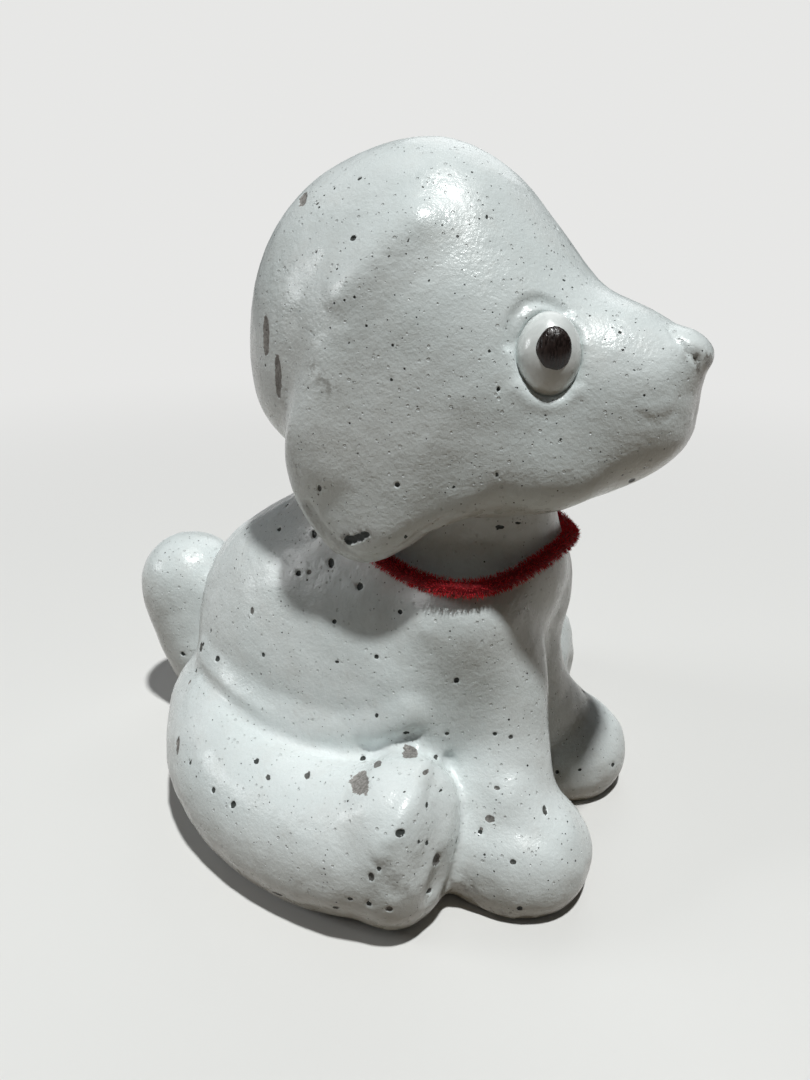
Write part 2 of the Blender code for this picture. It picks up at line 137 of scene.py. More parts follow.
def make_floor():
    """A pale floor that fades into the background, and that throws back a warmer, darker light than it shows."""
    select_none()
    bpy.ops.mesh.primitive_plane_add(size=8)
    floor = bpy.context.object
    floor.name = "floor"
    material, tree, shader, place = new_material("pale floor")
    link = tree.links.new
    shader.inputs["Base Color"].default_value = (0.80, 0.795, 0.78, 1)
    shader.inputs["Roughness"].default_value = 0.8
    away = add_node(tree, "ShaderNodeVectorMath", operation="LENGTH")
    link(place, away.inputs[0])
    far = step_node(tree, away.outputs["Value"], 0.10, 0.85)
    distance = add_node(tree, "ShaderNodeEmission", {"Color": (*BACKGROUND, 1)})
    shown = add_node(tree, "ShaderNodeMixShader")
    link(far, shown.inputs["Fac"])
    link(shader.outputs["BSDF"], shown.inputs[1])
    link(distance.outputs["Emission"], shown.inputs[2])
    thrown = add_node(tree, "ShaderNodeBsdfDiffuse", {"Color": (0.16, 0.12, 0.08, 1)})
    choose = add_node(tree, "ShaderNodeMixShader")
    link(seen_share(tree), choose.inputs["Fac"])
    link(thrown.outputs["BSDF"], choose.inputs[1])
    link(shown.outputs["Shader"], choose.inputs[2])
    link(choose.outputs["Shader"], tree.nodes["Material Output"].inputs["Surface"])
    floor.data.materials.append(material)


def seen_share(tree):
    """1 where the camera sees a thing itself, in a gloss or through glass."""
    rays = add_node(tree, "ShaderNodeLightPath")
    seen = math_node(tree, "ADD", rays.outputs["Is Camera Ray"], rays.outputs["Is Glossy Ray"])
    return math_node(tree, "MINIMUM", math_node(tree, "ADD", seen, rays.outputs["Is Transmission Ray"]), 1.0)


def make_studio():
    bpy.context.scene.view_settings.view_transform = "Standard"
    world = bpy.data.worlds.new("studio")
    bpy.context.scene.world = world
    world.use_nodes = True
    links, nodes = world.node_tree.links, world.node_tree.nodes
    seen, lit = nodes["Background"], nodes.new("ShaderNodeBackground")
    seen.inputs["Color"].default_value = (*BACKGROUND, 1)
    lit.inputs["Color"].default_value = (0.92, 0.96, 1.0, 1)
    lit.inputs["Strength"].default_value = 0.03
    choose = nodes.new("ShaderNodeMixShader")
    links.new(nodes.new("ShaderNodeLightPath").outputs["Is Camera Ray"], choose.inputs["Fac"])
    links.new(lit.outputs["Background"], choose.inputs[1])
    links.new(seen.outputs["Background"], choose.inputs[2])
    links.new(choose.outputs["Shader"], nodes["World Output"].inputs["Surface"])
    make_lamp("ceiling lamp", (0.52, -0.33, 2.65), (0, 0, 0.1), 0.16, 62, (0.985, 1.0, 0.99))
    make_lamp("rear lamp", (-1.30, -0.85, 0.80), (0, 0, 0.06), 0.50, 4.8, (0.97, 0.99, 1.0))
    make_lamp("far lamp", (-0.40, 1.50, 1.20), (0, 0, 0.1), 1.20, 4, (0.97, 0.99, 1.0))
    make_floor()


# Working on a mesh


def select_none():
    for obj in bpy.context.selected_objects:
        obj.select_set(False)


def alone(obj):
    """Selects one object and nothing else."""
    select_none()
    obj.select_set(True)
    bpy.context.view_layer.objects.active = obj


def apply_all(obj):
    alone(obj)
    for modifier in list(obj.modifiers):
        bpy.ops.object.modifier_apply(modifier=modifier.name)


def points_of(obj):
    points = np.empty(len(obj.data.vertices) * 3)
    obj.data.vertices.foreach_get("co", points)
    return points.reshape(-1, 3)


def normals_of(obj):
    normals = np.empty(len(obj.data.vertices) * 3)
    obj.data.vertices.foreach_get("normal", normals)
    return normals.reshape(-1, 3)


def move_points(obj, points):
    obj.data.vertices.foreach_set("co", points.ravel())
    obj.data.update()


def keep_values(obj, name, values):
    obj.data.attributes.new(name, "FLOAT", "POINT").data.foreach_set("value", values.astype(np.float32))


def edges_of(obj):
    ends = np.empty(len(obj.data.edges) * 2, np.int32)
    obj.data.edges.foreach_get("vertices", ends)
    return ends.reshape(-1, 2)


def averaged(values, ends, count):
    """Mean of each point's neighbours."""
    total = np.zeros((count, values.shape[1]))
    for axis in range(values.shape[1]):
        column = values[:, axis]
        total[:, axis] = np.bincount(ends[:, 0], column[ends[:, 1]], count)
        total[:, axis] += np.bincount(ends[:, 1], column[ends[:, 0]], count)
    near = np.bincount(ends.ravel(), minlength=count)
    return total / np.maximum(near, 1)[:, None]


def rub_smooth(obj, times):
    """Rubs facets away. A step in and a longer one out keep the form from shrinking."""
    points, ends = points_of(obj), edges_of(obj)
    for _ in range(times):
        for share in (0.60, -0.62):
            points += share * (averaged(points, ends, len(points)) - points)
    move_points(obj, points)


def faded(distance):
    """1 in the middle and 0 from a distance of 1 on."""
    return np.clip(1 - distance**2, 0, 1) ** 2


def uneven(points, size, seed):
    """Smooth noise between -1 and 1, with lumps of this size."""
    shift = Vector((seed * 7.3, seed * 3.1, seed * 5.7))
    return np.array([noise.noise(Vector(point) / size + shift) for point in points])


def tree_of(obj):
    form = bmesh.new()
    form.from_mesh(obj.data)
    tree = BVHTree.FromBMesh(form)
    form.free()
    return tree


def seen_at(camera, u, v, tree):
    """The place of a casting that the camera sees at this pixel, or None."""
    away = Vector(((u - PICTURE_MIDDLE[0]) / PICTURE_FOCUS, (PICTURE_MIDDLE[1] - v) / PICTURE_FOCUS, -1))
    return tree.ray_cast(CAMERA_PLACE, camera.matrix_world.to_3x3() @ away.normalized())[0]


def line_seen(camera, pixels, tree):
    """The places of a casting that the camera sees along a line of pixels."""
    places = [seen_at(camera, u, v, tree) for u, v in pixels]
    return [np.array(place) for place in places if place is not None]


# The castings


def recast(node, name, voxel, rubs):
    """A fine copy of a CAD solid, with its facets rubbed away."""
    obj = bpy.data.objects.new(name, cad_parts[node].data.copy())
    bpy.context.scene.collection.objects.link(obj)
    obj.data.materials.clear()
    alone(obj)
    bpy.ops.object.mode_set(mode="EDIT")
    bpy.ops.mesh.select_all(action="SELECT")
    bpy.ops.mesh.remove_doubles(threshold=SAME_CORNER)
    bpy.ops.object.mode_set(mode="OBJECT")
    fine = obj.modifiers.new("fine skin", "REMESH")
    fine.voxel_size = voxel
    apply_all(obj)
    rub_smooth(obj, rubs)
    return obj


def add_lumps(obj, lumps):
    """Hand-made unevenness, as (size, depth)."""
    points, normals = points_of(obj), normals_of(obj)
    for seed, (size, depth) in enumerate(lumps):
        points += normals * (depth * uneven(points, size, seed))[:, None]
    points[:, 2] = np.maximum(points[:, 2], 0)
    move_points(obj, points)


def split_near(obj, places):
    """Divides the faces near these (place, radius) pairs."""
    points = points_of(obj)
    near = np.zeros(len(points), bool)
    for place, radius in places:
        near |= ((points - place) ** 2).sum(1) < (radius * 1.25 + PIT_MARGIN) ** 2
    chosen = [all(near[i] for i in face.vertices) for face in obj.data.polygons]
    alone(obj)
    obj.data.vertices.foreach_set("select", np.zeros(len(points), bool))
    obj.data.edges.foreach_set("select", np.zeros(len(obj.data.edges), bool))
    obj.data.polygons.foreach_set("select", chosen)
    bpy.ops.object.mode_set(mode="EDIT")
    bpy.ops.mesh.select_mode(type="FACE")
    bpy.ops.mesh.subdivide(number_cuts=PIT_CUTS)
    bpy.ops.object.mode_set(mode="OBJECT")


def press_pits(obj, pits):
    """Sinks pits of (place, right, up, half width, half height, depth, bareness) and marks them for the paint."""
    sizes = [(place, max(wide, high)) for place, _, _, wide, high, _, _ in pits]
    split_near(obj, [(place, size) for place, size in sizes if size > FINE_PIT])
    points, normals = points_of(obj), normals_of(obj)
    inside = np.full(len(points), -1.0)
    bareness = np.zeros(len(points))
    sunk = np.zeros(len(points))
    for place, right, up, wide, high, depth, bare in pits:
        size = max(wide, high)
        near = np.flatnonzero(((points - place) ** 2).sum(1) < (2.2 * size) ** 2)
        away = points[near] - place
        far = np.sqrt((away @ right / wide) ** 2 + (away @ up / high) ** 2)
        # The plain distance keeps a pit off what lies behind it
        far = np.maximum(far, np.sqrt((away**2).sum(1)) / (1.9 * size))
        better = 1 - far > inside[near]
        inside[near] = np.where(better, 1 - far, inside[near])
        bareness[near] = np.where(better, bare, bareness[near])
        sunk[near] = np.maximum(sunk[near], depth * np.clip((1 - far) * 2.5, 0, 1))
    points -= normals * sunk[:, None]
    points[:, 2] = np.maximum(points[:, 2], 0)
    move_points(obj, points)
    keep_values(obj, "pit", inside)
    keep_values(obj, "bare", bareness)


def across_view(camera):
    """The directions to the right and upward in the picture."""
    turn = camera.matrix_world.to_3x3()
    return np.array(turn @ Vector((1, 0, 0))), np.array(turn @ Vector((0, 1, 0)))


def pits_at(camera, obj, marks):
    """Pits where the camera sees them, from (u, v, width, height, bareness) in pixels."""
    tree = tree_of(obj)
    right, up = across_view(camera)
    pits = []
    for u, v, wide, high, bare in marks:
        place = seen_at(camera, u, v, tree)
        if place is None:
            continue
        scale = (place - CAMERA_PLACE).length / PICTURE_FOCUS / 2
        depth = min(DEEPEST_PIT, 0.55 * scale * min(wide, high)) * (SCRAPED_DEPTH if bare > 0.5 else 1)
        pits.append((np.array(place), right, up, scale * wide, scale * high, depth, bare))
    return pits


def nearest_on_line(points, line):
    """Distance of each point from a broken line."""
    nearest = np.full(len(points), np.inf)
    for start, end in zip(line, line[1:]):
        along = end - start
        share = np.clip((points - start) @ along / (along @ along), 0, 1)
        nearest = np.minimum(nearest, np.linalg.norm(points - start - share[:, None] * along, axis=1))
    return nearest


def work_strokes(camera, obj, strokes):
    """Presses grooves and draws up ridges, from (half width, height, (u, v), ...), alike on both sides of the dog."""
    tree = tree_of(obj)
    points, normals = points_of(obj), normals_of(obj)
    mirrored = points * MIRRORED
    raised = np.zeros(len(points))
    for half_width, height, *pixels in strokes:
        line = line_seen(camera, pixels, tree)
        near = np.minimum(nearest_on_line(points, line), nearest_on_line(mirrored, line))
        raised += height * faded(np.minimum(near / half_width, 1))
    move_points(obj, points + normals * raised[:, None])


def keep_stains_and_shade(camera, obj, stains_and_shade):
    """Marks where dirt and scrapes show, and where shade is painted, on the side that the camera sees, as a value
    from 0 to 1.
    """
    tree = tree_of(obj)
    points = points_of(obj)
    dirt_and_shade = np.zeros(len(points))
    for half_width, strength, *pixels in stains_and_shade:
        line = line_seen(camera, pixels, tree)
        near = nearest_on_line(points, line)
        dirt_and_shade = np.maximum(dirt_and_shade, strength * faded(np.minimum(near / half_width / STAIN_AND_SHADE_SPREAD, 1)))
    keep_values(obj, "dirt_and_shade", dirt_and_shade)


def rub_dents(camera, obj, zones):
    """Fills dents of the casting near the places given as (radius, times, (u, v)), on both sides of the dog."""
    tree = tree_of(obj)
    ends = edges_of(obj)
    for radius, times, (u, v) in zones:
        middle = np.array(seen_at(camera, u, v, tree))
        points = points_of(obj)
        away = np.linalg.norm(points - middle, axis=1)
        away = np.minimum(away, np.linalg.norm(points * MIRRORED - middle, axis=1))
        share = faded(np.minimum(away / radius, 1))[:, None]
        near = share[:, 0] > 0
        inner = near[ends].any(1)
        for _ in range(times):
            points += share * 0.8 * (averaged(points, ends[inner], len(points)) - points)
        move_points(obj, points)


def scattered_pits(obj, count, smallest, largest):
    """Pits strewn over the casting by chance, mostly small."""
    areas = np.array([face.area for face in obj.data.polygons])
    faces = chance.choice(len(areas), count, p=areas / areas.sum())
    pits = []
    for index in faces:
        face = obj.data.polygons[int(index)]
        size = smallest + (largest - smallest) * chance.random() ** 3
        normal = np.array(face.normal)
        right = np.cross(normal, chance.normal(size=3))
        right /= np.linalg.norm(right)
        up = np.cross(normal, right)
        shape = 0.75 + 0.5 * chance.random()
        bare = float(chance.random() < SCRAPED_SHARE)
        pits.append((np.array(face.center), right, up, size, size * shape, 0.6 * size, bare))
    return pits


# The eyes


def eye_turn(side):
    """How an eye faces: out to its side and a little upward."""
    out = Matrix.Rotation(side * math.radians(EYE_OUT), 3, "Z")
    return out @ Matrix.Rotation(-math.radians(EYE_UP), 3, "Y")


def make_ball(name, centre, radii, turn, unevenness):
    """An egg of these radii, a little uneven, as a hand-set eye is."""
    select_none()
    bpy.ops.mesh.primitive_uv_sphere_add(segments=72, ring_count=48, radius=1)
    ball = bpy.context.object
    ball.name = name
    bpy.ops.object.mode_set(mode="EDIT")
    bpy.ops.transform.rotate(value=math.pi / 2, orient_axis="Y", center_override=(0, 0, 0))
    bpy.ops.object.mode_set(mode="OBJECT")
    points = points_of(ball)
    rough = uneven(points, 0.55, 3 + len(name)) * unevenness
    points = points * (1 + rough[:, None]) * radii
    points = points @ np.array(turn).T + centre
    move_points(ball, points)
    ball.data.shade_smooth()
    return ball


def eye_centre(side, turn):
    """Where the middle of the CAD eyeball lies."""
    corners = np.array([corner.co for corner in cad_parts[f"{SIDES[side]}_eyeball"].data.vertices])
    inside = corners @ np.array(turn)
    middle = (inside.min(0) + inside.max(0)) / 2
    middle[0] = inside[:, 0].min() + EYE_RADII[0]
    return np.array(turn) @ middle


def make_eyes():
    """White eyeballs, and pupils set a little above their middles and square to them."""
    reach = EYE_RADII[0] * math.sqrt(1 - (PUPIL_RAISED / EYE_RADII[2]) ** 2)
    slope = math.atan2(PUPIL_RAISED / EYE_RADII[2] ** 2, reach / EYE_RADII[0] ** 2)
    eyes = []
    for side in (-1, 1):
        turn = eye_turn(side)
        gaze = turn @ Matrix.Rotation(-slope, 3, "Y")
        centre = eye_centre(side, turn)
        eyeball = make_ball(f"{SIDES[side]}_eye_white", centre, EYE_RADII, turn, 0.012)
        front = centre + np.array(turn @ Vector((reach, 0, PUPIL_RAISED)))
        front -= np.array(gaze @ Vector((PUPIL_RADII[0] - PUPIL_PROUD, 0, 0)))
        pupil = make_ball(f"{SIDES[side]}_eye_pupil", front, PUPIL_RADII, gaze, 0.035)
        eyes.append((eyeball, f"{SIDES[side]}_eyeball", "eyeball_paint"))
        eyes.append((pupil, f"{SIDES[side]}_pupil", "pupil_gloss"))
    return eyes


# The collar


def make_collar(count, length, width):
    """The chenille stem: its core, and a pile of short fibres that stops at the castings."""
    obj = recast("collar", "velvet_collar", CORE_VOXEL, 6)
    points, normals = points_of(obj), normals_of(obj)
    move_points(obj, points - normals * CORE_SUNK)
    roots = chance.choice(len(points), count)
    trees = [tree_of(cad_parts[name]) for name in ("body_casting", "head_casting")]
    corners, faces, tips, tints = [], [], [], []
    for root in roots:
        place, out = points[root] + chance.normal(size=3) * FIBRE_STRAY, normals[root]
        lean = out + chance.normal(size=3) * FIBRE_LEAN
        lean /= np.linalg.norm(lean)
        reach = length * (0.65 + 0.5 * chance.random())
        for tree in trees:
            hit = tree.ray_cast(Vector(place), Vector(lean), reach * 1.1)[3]
            if hit is not None:
                reach = min(reach, hit * 0.85)
        if reach < length * FIBRE_SHORTEST:
            continue
        side = np.cross(lean, chance.normal(size=3))
        side *= width / np.linalg.norm(side)
        other = np.cross(lean, side)
        first = len(corners)
        foot = place - out * FIBRE_STRAY
        bend = chance.normal(size=3) * FIBRE_BEND
        for angle in FIBRE_EDGES:
            corners.append(foot + side * math.cos(angle) + other * math.sin(angle))
        waist = place + lean * reach * FIBRE_WAIST + bend * 0.5
        for angle in FIBRE_EDGES:
            corners.append(waist + (side * math.cos(angle) + other * math.sin(angle)) * 0.7)
        corners.append(place + lean * reach + bend)
        for step in range(3):
            after = (step + 1) % 3
            faces.append((first + step, first + after, first + 3 + after, first + 3 + step))
            faces.append((first + 3 + step, first + 3 + after, first + 6))
        faces.append((first + 2, first + 1, first))
        tips.extend((0.0, 0.0, 0.0, FIBRE_WAIST, FIBRE_WAIST, FIBRE_WAIST, 1.0))
        tints.extend([chance.random()] * 7)
    pile = bpy.data.meshes.new("pile")
    pile.from_pydata([tuple(corner) for corner in corners], [], faces)
    fibres = bpy.data.objects.new("pile", pile)
    bpy.context.scene.collection.objects.link(fibres)
    # The core takes the darkest painted shade of the pile
    keep_values(obj, "tip", np.full(len(points), -0.5))
    keep_values(obj, "tint", np.full(len(points), 0.5))
    keep_values(fibres, "tip", np.array(tips))
    keep_values(fibres, "tint", np.array(tints))
    alone(obj)
    fibres.select_set(True)
    bpy.ops.object.join()
    return obj


# Materials


def new_material(name):
    """A material with its tree, its shader and the place on the object, in metres."""
    material = bpy.data.materials.new(name)
    material.use_nodes = True
    tree = material.node_tree
    place = add_node(tree, "ShaderNodeTexCoord").outputs["Object"]
    return material, tree, tree.nodes["Principled BSDF"], place


def add_node(tree, kind, values=None, **settings):
    node = tree.nodes.new(kind)
    for key, value in settings.items():
        setattr(node, key, value)
    for key, value in (values or {}).items():
        node.inputs[key].default_value = value
    return node


def feed(tree, socket, value):
    """Gives a socket a plain value, or the output of another node."""
    if isinstance(value, (int, float, tuple)):
        socket.default_value = value
    else:
        tree.links.new(value, socket)


def math_node(tree, operation, *values):
    node = add_node(tree, "ShaderNodeMath", operation=operation)
    for socket, value in zip(node.inputs, values):
        feed(tree, socket, value)
    return node.outputs["Value"]


def step_node(tree, value, low, high, start=0.0, end=1.0):
    """A smooth step from start to end, as the value goes from low to high."""
    node = add_node(tree, "ShaderNodeMapRange", interpolation_type="SMOOTHSTEP")
    keys = ("Value", "From Min", "From Max", "To Min", "To Max")
    for key, number in zip(keys, (value, low, high, start, end)):
        feed(tree, node.inputs[key], number)
    return node.outputs["Result"]


def mix_node(tree, share, first, second):
    """A colour between two colours."""
    node = add_node(tree, "ShaderNodeMix", data_type="RGBA")
    for key, value in (("Factor", share), (6, first), (7, second)):
        feed(tree, node.inputs[key], value)
    return node.outputs[2]


def noise_node(tree, place, size, detail=2.0, roughness=0.5):
    node = add_node(tree, "ShaderNodeTexNoise", {"Scale": 1 / size, "Detail": detail, "Roughness": roughness})
    tree.links.new(place, node.inputs["Vector"])
    return node.outputs["Fac"]


def kept_value(tree, name):
    """A value that was kept on the points of the mesh."""
    return add_node(tree, "ShaderNodeAttribute", attribute_name=name).outputs["Fac"]


def stretched(tree, place, scale):
    """The place, stretched along the piece."""
    node = add_node(tree, "ShaderNodeMapping", {"Scale": scale})
    tree.links.new(place, node.inputs["Vector"])
    return node.outputs["Vector"]


def add_bump(tree, shader, height, strength, distance):
    bump = add_node(tree, "ShaderNodeBump", {"Strength": strength, "Distance": distance})
    tree.links.new(height, bump.inputs["Height"])
    tree.links.new(bump.outputs["Normal"], shader.inputs["Normal"])


def new_group(name, inputs, outputs):
    group = bpy.data.node_groups.new(name, "ShaderNodeTree")
    for key, (kind, value) in inputs.items():
        socket = group.interface.new_socket(key, in_out="INPUT", socket_type=kind)
        if value is not None:
            socket.default_value = value
    for key, kind in outputs.items():
        group.interface.new_socket(key, in_out="OUTPUT", socket_type=kind)
    return group, group.nodes.new("NodeGroupInput").outputs, group.nodes.new("NodeGroupOutput").inputs


def pinhole_group():
    """Small holes of air bubbles, as a mask that is 1 in a hole."""
    group, given, result = new_group(
        "pinholes",
        {
            "Place": ("NodeSocketVector", None),
            "Spacing": ("NodeSocketFloat", 0.003),
            "Size": ("NodeSocketFloat", 0.0004),
            "Share": ("NodeSocketFloat", 0.5),
        },
        {"Hole": "NodeSocketFloat"},
    )
    cells = add_node(group, "ShaderNodeTexVoronoi")
    group.links.new(given["Place"], cells.inputs["Vector"])
    group.links.new(math_node(group, "DIVIDE", 1.0, given["Spacing"]), cells.inputs["Scale"])
    parts = add_node(group, "ShaderNodeSeparateColor")
    group.links.new(cells.outputs["Color"], parts.inputs["Color"])
    chosen = math_node(group, "LESS_THAN", parts.outputs["Red"], given["Share"])
    sized = math_node(group, "MULTIPLY_ADD", parts.outputs["Green"], 0.65, 0.35)
    radius = math_node(group, "DIVIDE", math_node(group, "MULTIPLY", sized, given["Size"]), given["Spacing"])
    hole = step_node(group, cells.outputs["Distance"], radius, math_node(group, "MULTIPLY", radius, 0.6))
    group.links.new(math_node(group, "MULTIPLY", hole, chosen), result["Hole"])
    return group


def wear_group():
    """Where the paint is missing, from the marks pressed into the casting, and what shows there: scraped concrete,
    and in dark pits concrete darkened by painted shade.
    """
    group, given, result = new_group(
        "lost paint",
        {"Place": ("NodeSocketVector", None)},
        {"Lost": "NodeSocketFloat", "Bottom": "NodeSocketColor"},
    )
    ragged = noise_node(group, given["Place"], 0.0009, 3.0, 0.6)
    broken = noise_node(group, given["Place"], 0.0028, 2.0, 0.5)
    edge = math_node(group, "MULTIPLY_ADD", ragged, 0.5, math_node(group, "MULTIPLY_ADD", broken, 0.9, -0.70))
    lost = step_node(group, math_node(group, "ADD", kept_value(group, "pit"), edge), 0.02, 0.14)
    grain = noise_node(group, given["Place"], 0.0011, 4.0, 0.7)
    # Concrete at the bottom of a dark pit, darkened by painted shade of the pit
    dark = mix_node(group, grain, *DARK_STONE_AND_PIT_SHADE)
    scraped = mix_node(group, step_node(group, grain, 0.3, 0.7), *SCRAPED_STONE)
    group.links.new(lost, result["Lost"])
    group.links.new(mix_node(group, kept_value(group, "bare"), dark, scraped), result["Bottom"])
    return group


def paint_material(name, holes, wear, layers, brown_smear_height):
    """Gloss white masonry paint over pitted concrete."""
    material, tree, shader, place = new_material(name)
    link = tree.links.new
    found = []
    for spacing, size, share in layers:
        node = add_node(tree, "ShaderNodeGroup", node_tree=holes)
        link(place, node.inputs["Place"])
        node.inputs["Spacing"].default_value = spacing
        node.inputs["Size"].default_value = size
        node.inputs["Share"].default_value = share
        found.append(node.outputs["Hole"])
    open_holes = math_node(tree, "MAXIMUM", found[0], math_node(tree, "MULTIPLY", found[1], 0.85))
    painted_dents = found[2]
    lost = add_node(tree, "ShaderNodeGroup", node_tree=wear)
    link(place, lost.inputs["Place"])
    broad = noise_node(tree, place, 0.045, 3.0)
    paint = mix_node(tree, step_node(tree, broad, 0.35, 0.65), DULL_PAINT, CLEAN_PAINT)
    thin = step_node(tree, noise_node(tree, place, 0.0035, 4.0, 0.7), 0.56, 0.80)
    paint = mix_node(tree, math_node(tree, "MULTIPLY", thin, 0.35), paint, THIN_PAINT)
    parts = add_node(tree, "ShaderNodeSeparateXYZ")
    link(place, parts.inputs["Vector"])
    # Brown smears strewn by chance, stronger near the bottom of the casting: darker and browner towards the bottom
    low = step_node(tree, parts.outputs["Z"], brown_smear_height, 0.0)
    smears = step_node(tree, noise_node(tree, place, 0.012, 4.0, 0.65), 0.45, 0.75)
    brown_smears = math_node(tree, "MULTIPLY", math_node(tree, "MULTIPLY_ADD", low, 0.8, 0.16), smears)
    paint = mix_node(tree, brown_smears, paint, BROWN_SMEAR)
    # Painted shade: the painted-over dents are darkened
    paint = mix_node(tree, math_node(tree, "MULTIPLY", painted_dents, 0.28), paint, DENT_SHADE)
    scraped = noise_node(tree, place, 0.0022, 4.0, 0.6)
    # Dirt and scrapes, and painted shade under the ear's lobe and along the feet, in a dark brown broken by noise
    dirt_and_shade = math_node(tree, "MULTIPLY", kept_value(tree, "dirt_and_shade"), step_node(tree, scraped, 0.42, 0.62))
    paint = mix_node(tree, dirt_and_shade, paint, DIRT_AND_SHADE)
    # Painted shade: the open pinholes are near black
    paint = mix_node(tree, open_holes, paint, HOLE_SHADE)
    link(mix_node(tree, lost.outputs["Lost"], paint, lost.outputs["Bottom"]), shader.inputs["Base Color"])
    gloss = step_node(tree, noise_node(tree, place, 0.006, 3.0), 0.3, 0.7, 0.22, 0.38)
    rough = math_node(tree, "MAXIMUM", gloss, math_node(tree, "MULTIPLY", lost.outputs["Lost"], 0.85))
    link(rough, shader.inputs["Roughness"])
    peel = noise_node(tree, place, 0.0011, 3.0, 0.65)
    waves = noise_node(tree, place, 0.0035, 2.0, 0.5)
    height = math_node(tree, "MULTIPLY_ADD", peel, 0.30, math_node(tree, "MULTIPLY", waves, 0.35))
    height = math_node(tree, "SUBTRACT", height, math_node(tree, "MULTIPLY", open_holes, 0.6))
    height = math_node(tree, "SUBTRACT", height, math_node(tree, "MULTIPLY", painted_dents, 0.42))
    add_bump(tree, shader, height, 1.0, 0.00058)
    shader.inputs["Specular IOR Level"].default_value = 0.48
    shader.inputs["Coat Weight"].default_value = 0.22
    shader.inputs["Coat Roughness"].default_value = 0.15
    return material


def eyeball_material(holes):
    """The same gloss white, thicker and smoother, brushed round the eye."""
    material, tree, shader, place = new_material("eyeball paint")
    link = tree.links.new
    node = add_node(tree, "ShaderNodeGroup", {"Spacing": 0.0021, "Size": 0.00022, "Share": 0.22}, node_tree=holes)
    link(place, node.inputs["Place"])
    tone = step_node(tree, noise_node(tree, place, 0.004, 3.0, 0.6), 0.3, 0.7)
    paint = mix_node(tree, tone, (0.74, 0.78, 0.77, 1), (0.83, 0.865, 0.855, 1))
    link(mix_node(tree, node.outputs["Hole"], paint, (0.07, 0.075, 0.07, 1)), shader.inputs["Base Color"])
    link(step_node(tree, tone, 0.0, 1.0, 0.20, 0.32), shader.inputs["Roughness"])
    peel = noise_node(tree, place, 0.0011, 3.0, 0.6)
    height = math_node(tree, "SUBTRACT", math_node(tree, "MULTIPLY", peel, 0.25), node.outputs["Hole"])
    add_bump(tree, shader, height, 0.6, 0.0003)
    shader.inputs["Coat Weight"].default_value = 0.35
    shader.inputs["Coat Roughness"].default_value = 0.10
    return material


def pupil_material():
    """Dark brown enamel with the drag marks of a brush under its gloss."""
    material, tree, shader, place = new_material("pupil enamel")
    link = tree.links.new
    drag = noise_node(tree, stretched(tree, place, (1.0, 1.0, 0.22)), 0.0007, 3.0, 0.6)
    tone = step_node(tree, drag, 0.35, 0.75)
    link(mix_node(tree, tone, (0.010, 0.006, 0.005, 1), (0.040, 0.026, 0.022, 1)), shader.inputs["Base Color"])
    link(step_node(tree, drag, 0.2, 0.8, 0.20, 0.42), shader.inputs["Roughness"])
    add_bump(tree, shader, drag, 0.8, 0.00035)
    shader.inputs["Specular IOR Level"].default_value = 0.35
    shader.inputs["Coat Weight"].default_value = 0.15
    shader.inputs["Coat Roughness"].default_value = 0.15
    return material


def velvet_material():
    """Red pile, each fibre its own tint; painted shade makes it dark at the root and brighter at the tip."""
    material, tree, shader, place = new_material("red velvet")
    link = tree.links.new
    tint = kept_value(tree, "tint")
    matted = step_node(tree, noise_node(tree, place, 0.004, 2.0), 0.35, 0.7)
    bright = mix_node(tree, tint, (0.70, 0.010, 0.024, 1), (1.0, 0.034, 0.056, 1))
    bright = mix_node(tree, math_node(tree, "MULTIPLY", matted, 0.35), bright, (0.30, 0.006, 0.014, 1))
    # Painted shade: darker from the tip of a fibre down to its root, darkest on the core
    share = step_node(tree, kept_value(tree, "tip"), -0.35, 0.65)
    link(mix_node(tree, share, (0.20, 0.004, 0.009, 1), bright), shader.inputs["Base Color"])
    link(step_node(tree, tint, 0.0, 1.0, 0.55, 0.85), shader.inputs["Roughness"])
    shader.inputs["Specular IOR Level"].default_value = 0.25
    shader.inputs["Sheen Weight"].default_value = 0.35
    shader.inputs["Sheen Roughness"].default_value = 0.4
    shader.inputs["Sheen Tint"].default_value = (1.0, 0.55, 0.5, 1)
    return material


def steel_material():
    """A cut length of drawn steel rod: fine lines along it, and a little rust."""
    material, tree, shader, place = new_material("pin steel")
    link = tree.links.new
    drawn = noise_node(tree, stretched(tree, place, (1.0, 1.0, 0.05)), 0.0003, 3.0, 0.6)
    rust = step_node(tree, noise_node(tree, place, 0.003, 4.0, 0.65), 0.55, 0.72)
    steel = mix_node(tree, drawn, (0.42, 0.42, 0.43, 1), (0.60, 0.60, 0.60, 1))
    link(mix_node(tree, rust, steel, (0.16, 0.065, 0.03, 1)), shader.inputs["Base Color"])
    link(math_node(tree, "SUBTRACT", 1.0, rust), shader.inputs["Metallic"])
    link(math_node(tree, "MULTIPLY_ADD", rust, 0.45, 0.35), shader.inputs["Roughness"])
    add_bump(tree, shader, drawn, 0.3, 0.00005)
    return material


# Pits and chips that show from the camera: (u, v, width, height, bareness), the first four in pixels

